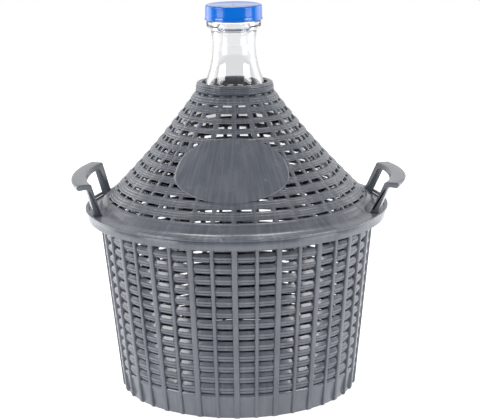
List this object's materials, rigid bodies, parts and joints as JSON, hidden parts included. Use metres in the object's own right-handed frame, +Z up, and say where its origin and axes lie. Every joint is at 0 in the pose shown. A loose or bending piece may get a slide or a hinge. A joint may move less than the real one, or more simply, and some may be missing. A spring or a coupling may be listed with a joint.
{
  "type": "demijohn",
  "caption": "Clear glass demijohn in a grey plastic basket with two side handles, a slotted conical cover with a plain oval plate, and a blue screw cap.",
  "frame": {"origin": "centre of the basket's foot, on the surface it stands on", "axes": "+Z up along the bottle's axis, -Y towards the front with the oval plate, the two handles at +X and -X"},
  "size_m": [0.3332, 0.3036, 0.3853],
  "materials": {
    "basket_plastic": "satin",
    "cover_plastic": "satin",
    "clear_glass": "gloss",
    "cap_plastic": "gloss",
    "liner_foam": "matte"
  },
  "bodies": {
    "demijohn": {"basket": "basket_plastic", "cover": "cover_plastic", "bottle": "clear_glass"},
    "sealing_liner": {"cap_liner": "liner_foam"},
    "screw_cap": {"cap": "cap_plastic"}
  },
  "joints": [
    {"name": "cap_lift", "type": "slide", "parent": "demijohn", "child": "sealing_liner", "axis": [0, 0, 1], "range_m": [0, 0.05]},
    {"name": "cap_turn", "type": "hinge", "parent": "sealing_liner", "child": "screw_cap", "pos_m": [0, 0, 0.38], "axis": [0, 0, 1], "range_deg": [0, 450]}
  ],
  "couplings": [
    {"joint": "cap_turn", "follows": "cap_lift", "rad_per_m": 157}
  ]
}
